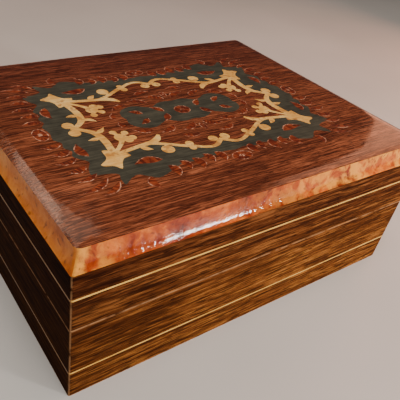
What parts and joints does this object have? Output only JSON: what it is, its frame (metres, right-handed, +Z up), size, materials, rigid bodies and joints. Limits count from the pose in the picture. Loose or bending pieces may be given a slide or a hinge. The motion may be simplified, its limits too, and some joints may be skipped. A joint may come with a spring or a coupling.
{
  "type": "inlaid wooden box",
  "caption": "Hinged wooden keepsake box with mitred veneered walls, pale stringing, burl bevels and a scroll marquetry top.",
  "frame": {"origin": "centre of the underside", "axes": "+X along the long front, front face towards -Y, hinges at the back towards +Y, +Z up"},
  "size_m": [0.21, 0.161, 0.082],
  "materials": {
    "bottom_wood": "satin",
    "core_wood": "satin",
    "wall_veneer": "polished",
    "top_veneer": "polished",
    "stringing": "polished",
    "burl": "polished",
    "cream_inlay": "polished",
    "dyed_ground": "polished",
    "inner_field": "polished",
    "red_inlay": "polished",
    "pale_inlay": "polished",
    "lining": "velvet",
    "brass": "satin",
    "brass_screws": "satin"
  },
  "bodies": {
    "base": {"bottom_panel": "bottom_wood", "base_front_wall": "core_wood", "base_right_wall": "core_wood", "base_back_wall": "core_wood", "base_left_wall": "core_wood", "base_front_veneer": "wall_veneer", "base_right_veneer": "wall_veneer", "base_back_veneer": "wall_veneer", "base_left_veneer": "wall_veneer", "base_front_stringing": "stringing", "base_right_stringing": "stringing", "base_back_stringing": "stringing", "base_left_stringing": "stringing", "base_lining_floor": "lining", "base_lining_front": "lining", "base_lining_right": "lining", "base_lining_back": "lining", "base_lining_left": "lining", "hinge_left_base_leaf": "brass", "hinge_right_base_leaf": "brass", "hinge_left_pin": "brass", "hinge_right_pin": "brass", "hinge_base_screws": "brass_screws"},
    "lid": {"lid_front_wall": "core_wood", "lid_right_wall": "core_wood", "lid_back_wall": "core_wood", "lid_left_wall": "core_wood", "lid_front_veneer": "wall_veneer", "lid_right_veneer": "wall_veneer", "lid_back_veneer": "wall_veneer", "lid_left_veneer": "wall_veneer", "lid_front_stringing": "stringing", "lid_right_stringing": "stringing", "lid_back_stringing": "stringing", "lid_left_stringing": "stringing", "lid_top_board": "core_wood", "bevel_front": "burl", "bevel_right": "burl", "bevel_back": "burl", "bevel_left": "burl", "top_veneer": "top_veneer", "marquetry_scroll_frame": "cream_inlay", "marquetry_ground": "dyed_ground", "marquetry_inner_field": "inner_field", "marquetry_leaves": "red_inlay", "marquetry_leaf_edges": "pale_inlay", "marquetry_medallion": "dyed_ground", "lid_lining_ceiling": "lining", "lid_lining_front": "lining", "lid_lining_right": "lining", "lid_lining_back": "lining", "lid_lining_left": "lining", "hinge_left_lid_leaf": "brass", "hinge_right_lid_leaf": "brass", "hinge_lid_screws": "brass_screws"}
  },
  "joints": [
    {"name": "lid_hinge", "type": "hinge", "parent": "base", "child": "lid", "pos_m": [0, 0.0765, 0.0426], "axis": [-1, 0, 0], "range_deg": [0, 97]}
  ]
}
